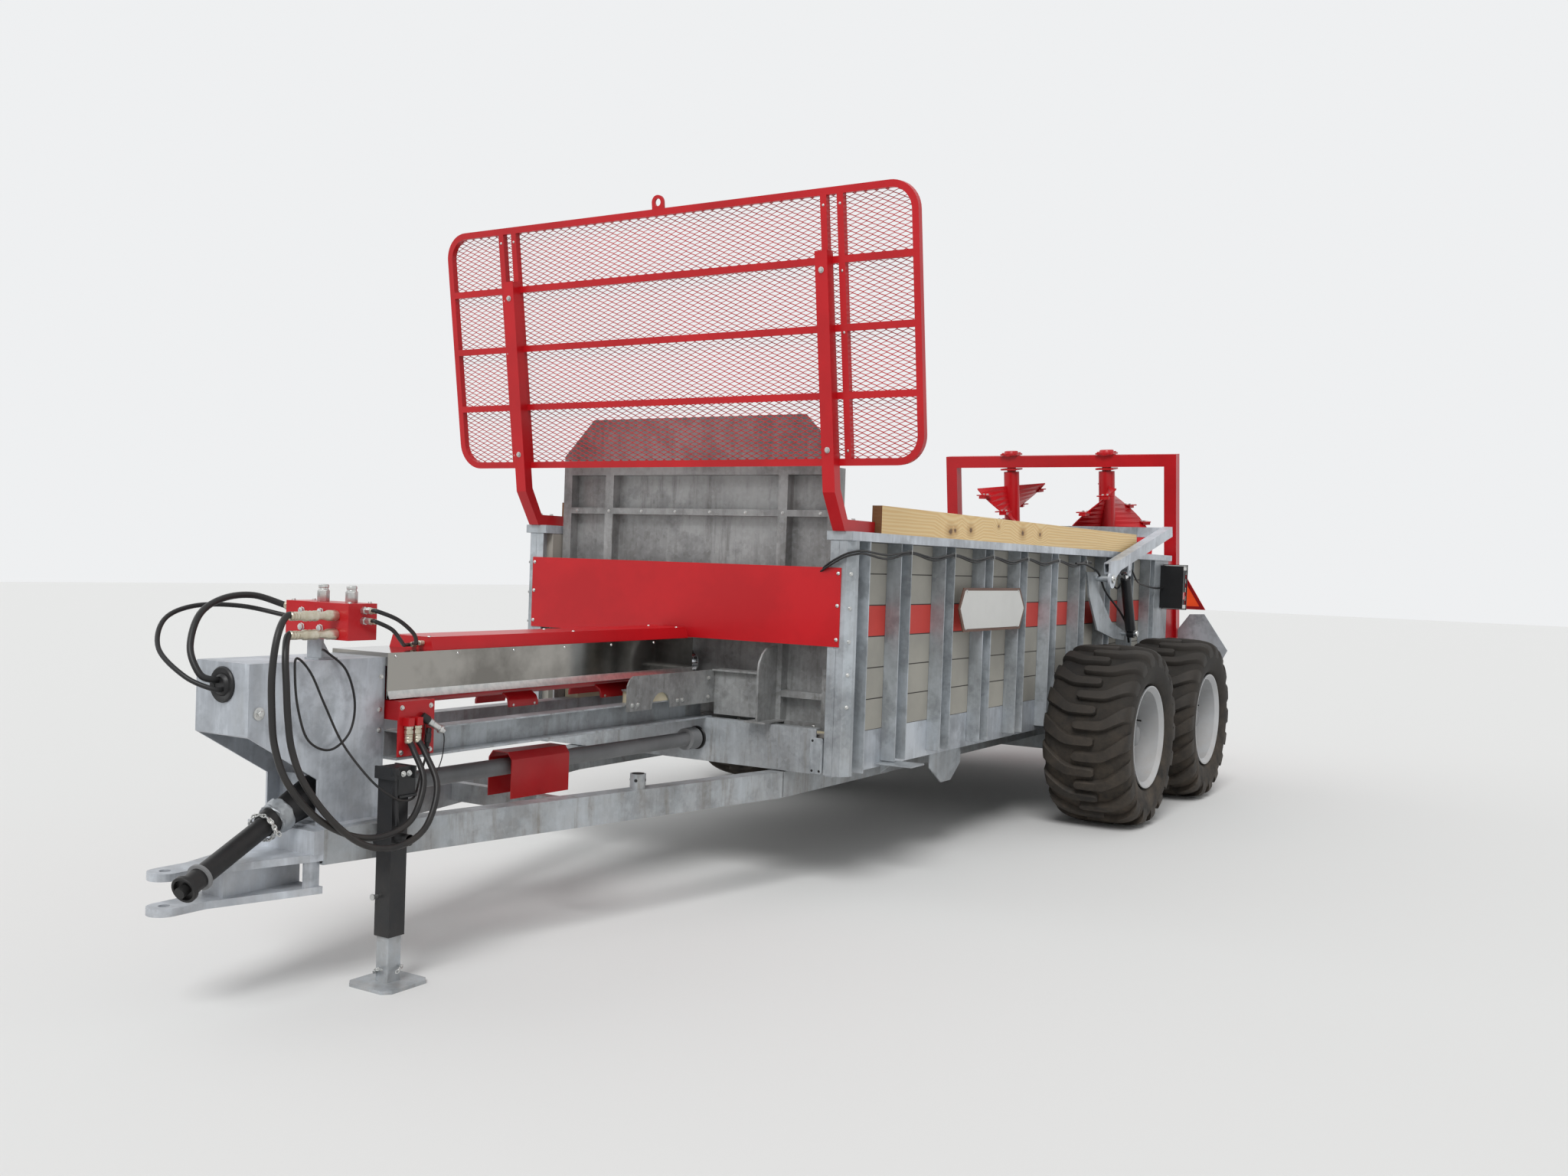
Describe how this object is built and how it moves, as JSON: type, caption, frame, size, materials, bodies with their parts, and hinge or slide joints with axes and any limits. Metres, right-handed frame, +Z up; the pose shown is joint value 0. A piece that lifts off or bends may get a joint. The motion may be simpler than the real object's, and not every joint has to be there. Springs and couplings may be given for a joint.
{
  "type": "manure spreader",
  "caption": "Trailed box spreader with a hydraulic push gate, upright beaters, a lifting rear gate, a mesh guard and a tandem axle.",
  "frame": {"origin": "on the ground, in the middle of the machine's length and width", "axes": "+X to the machine's left, +Y to its rear, +Z up; the hitch is towards -Y"},
  "size_m": [2.95, 8.2247, 3.1049],
  "materials": {
    "red_paint": "gloss industrial enamel",
    "galvanised": "hot-dip galvanised, mottled",
    "poly_board": "tan-grey extruded plastic",
    "stripe": "red plastic",
    "pine": "planed pine",
    "tyre": "dusty rubber",
    "rim_paint": "silver-white paint",
    "stainless": "mirror-polished stainless sheet",
    "black_steel": "black paint",
    "black_plastic": "black plastic guard",
    "rod_chrome": "chromed rod",
    "grey_steel": "grey painted tube",
    "floor_plastic": "worn floor sheet",
    "slide_plastic": "cream slide plastic",
    "orange_sign": "fluorescent orange with red edge",
    "hose_rubber": "black hose"
  },
  "bodies": {
    "spreader": {"tongue_frame": "galvanised", "tongue_nose": "galvanised", "pedestal": "galvanised", "jack_tube": "black_steel", "jack_leg": "galvanised", "pto_shield": "black_plastic", "driveline": "grey_steel", "driveline_shield": "red_paint", "cylinder_cover": "stainless", "cover_ridge": "red_paint", "push_barrel": "red_paint", "front_beam": "galvanised", "corner_posts": "galvanised", "front_board": "red_paint", "floor": "floor_plastic", "main_rails": "galvanised", "cross_members": "galvanised", "side_boards": "poly_board", "stripe_boards": "stripe", "side_posts": "galvanised", "top_rails": "galvanised", "side_sills": "galvanised", "planks": "pine", "guard_frame": "red_paint", "guard_mesh": "red_paint", "beater_frame": "red_paint", "gate_brackets": "galvanised", "tail_lamps": "black_plastic", "slow_triangle": "orange_sign", "deflectors": "galvanised", "valve_block": "red_paint", "walking_beams": "galvanised", "hose_upper": "hose_rubber", "hose_lower": "hose_rubber", "hose_grommet": "hose_rubber", "line_grommet": "hose_rubber", "line_ridge_outer": "hose_rubber", "line_ridge_inner": "hose_rubber", "lamp_cable": "hose_rubber"},
    "wheel_left_front": {"tyre_left_front": "tyre", "rim_left_front": "rim_paint"},
    "wheel_left_rear": {"tyre_left_rear": "tyre", "rim_left_rear": "rim_paint"},
    "wheel_right_front": {"tyre_right_front": "tyre", "rim_right_front": "rim_paint"},
    "wheel_right_rear": {"tyre_right_rear": "tyre", "rim_right_rear": "rim_paint"},
    "left_beater": {"beater_left": "red_paint"},
    "right_beater": {"beater_right": "red_paint"},
    "gate": {"push_gate": "galvanised", "gate_shoes": "slide_plastic", "push_rod": "rod_chrome"},
    "stage_1": {"push_stage_1": "rod_chrome"},
    "stage_2": {"push_stage_2": "rod_chrome"},
    "rear_gate": {"rear_gate_arms": "galvanised", "rear_gate_panel": "galvanised"},
    "barrel_left": {"gate_barrel_left": "black_steel"},
    "barrel_right": {"gate_barrel_right": "black_steel"},
    "rod_left": {"gate_rod_left": "rod_chrome"},
    "rod_right": {"gate_rod_right": "rod_chrome"}
  },
  "joints": [
    {"name": "wheel_left_front_spin", "type": "hinge", "parent": "spreader", "child": "wheel_left_front", "pos_m": [1.225, 1.35, 0.526], "axis": [1, 0, 0], "continuous": true},
    {"name": "wheel_left_rear_spin", "type": "hinge", "parent": "spreader", "child": "wheel_left_rear", "pos_m": [1.225, 2.67, 0.526], "axis": [1, 0, 0], "continuous": true},
    {"name": "wheel_right_front_spin", "type": "hinge", "parent": "spreader", "child": "wheel_right_front", "pos_m": [-1.225, 1.35, 0.526], "axis": [1, 0, 0], "continuous": true},
    {"name": "wheel_right_rear_spin", "type": "hinge", "parent": "spreader", "child": "wheel_right_rear", "pos_m": [-1.225, 2.67, 0.526], "axis": [1, 0, 0], "continuous": true},
    {"name": "beater_left_spin", "type": "hinge", "parent": "spreader", "child": "left_beater", "pos_m": [0.385, 3.61, 2.325], "axis": [0, -0.1392, 0.9903], "continuous": true},
    {"name": "beater_right_spin", "type": "hinge", "parent": "spreader", "child": "right_beater", "pos_m": [-0.385, 3.61, 2.325], "axis": [0, -0.1392, 0.9903], "continuous": true},
    {"name": "push_gate_slide", "type": "slide", "parent": "spreader", "child": "gate", "axis": [0, 1, 0], "range_m": [0, 4.2]},
    {"name": "push_stage_1_slide", "type": "slide", "parent": "spreader", "child": "stage_1", "axis": [0, 1, 0], "range_m": [0, 1.4]},
    {"name": "push_stage_2_slide", "type": "slide", "parent": "spreader", "child": "stage_2", "axis": [0, 1, 0], "range_m": [0, 2.8]},
    {"name": "rear_gate_hinge", "type": "hinge", "parent": "spreader", "child": "rear_gate", "pos_m": [0, 1.865, 1.436], "axis": [1, 0, 0], "range_deg": [0, 45]},
    {"name": "gate_barrel_left_pivot", "type": "hinge", "parent": "spreader", "child": "barrel_left", "pos_m": [0.987, 2.43, 1.075], "axis": [1, 0, 0], "range_deg": [-1, 1.34]},
    {"name": "gate_rod_left_slide", "type": "slide", "parent": "barrel_left", "child": "rod_left", "axis": [0, -0.4028, 0.9153], "range_m": [0, 0.2995]},
    {"name": "gate_barrel_right_pivot", "type": "hinge", "parent": "spreader", "child": "barrel_right", "pos_m": [-0.987, 2.43, 1.075], "axis": [1, 0, 0], "range_deg": [-1, 1.34]},
    {"name": "gate_rod_right_slide", "type": "slide", "parent": "barrel_right", "child": "rod_right", "axis": [0, -0.4028, 0.9153], "range_m": [0, 0.2995]}
  ],
  "couplings": [
    {"joint": "beater_right_spin", "follows": "beater_left_spin", "ratio": -1},
    {"joint": "push_stage_1_slide", "follows": "push_gate_slide", "ratio": 0.33333},
    {"joint": "push_stage_2_slide", "follows": "push_gate_slide", "ratio": 0.66667},
    {"joint": "gate_barrel_left_pivot", "follows": "rear_gate_hinge", "ratio": 0.0186},
    {"joint": "gate_rod_left_slide", "follows": "rear_gate_hinge", "m_per_rad": 0.3788},
    {"joint": "gate_barrel_right_pivot", "follows": "rear_gate_hinge", "ratio": 0.0186},
    {"joint": "gate_rod_right_slide", "follows": "rear_gate_hinge", "m_per_rad": 0.3788}
  ]
}
